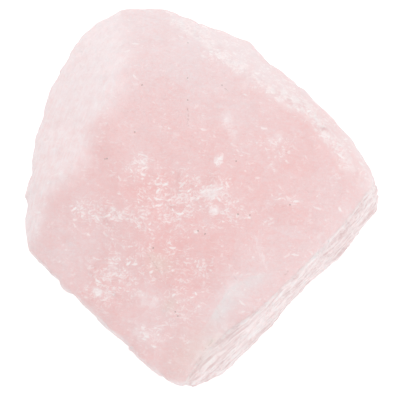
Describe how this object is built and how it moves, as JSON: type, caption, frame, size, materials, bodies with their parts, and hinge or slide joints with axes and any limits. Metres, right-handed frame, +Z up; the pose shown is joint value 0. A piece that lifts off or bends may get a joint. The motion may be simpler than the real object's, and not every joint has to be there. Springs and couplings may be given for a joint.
{
  "type": "rose quartz chunk",
  "caption": "Palm-size rough chunk of pale pink translucent quartz: a broad broken face, ridged and frosted side faces, and a flat fracture underneath to rest on.",
  "frame": {"origin": "middle of the box's underside, on the plane of the flat lower fracture that the chunk rests on", "axes": "+Z up, out of the resting face, and the chunk's shortest extent. The broad pink face looks up and leans 12 degrees towards -Y. +Y is towards the thick end and +X towards the pointed corner of the broad face."},
  "size_m": [0.0722, 0.076, 0.0362],
  "materials": {
    "rose_quartz": "broken surface with a soft greasy lustre; slightly translucent, frosted white on the side faces"
  },
  "bodies": {
    "root": {"rose_quartz_chunk": "rose_quartz"}
  },
  "joints": []
}
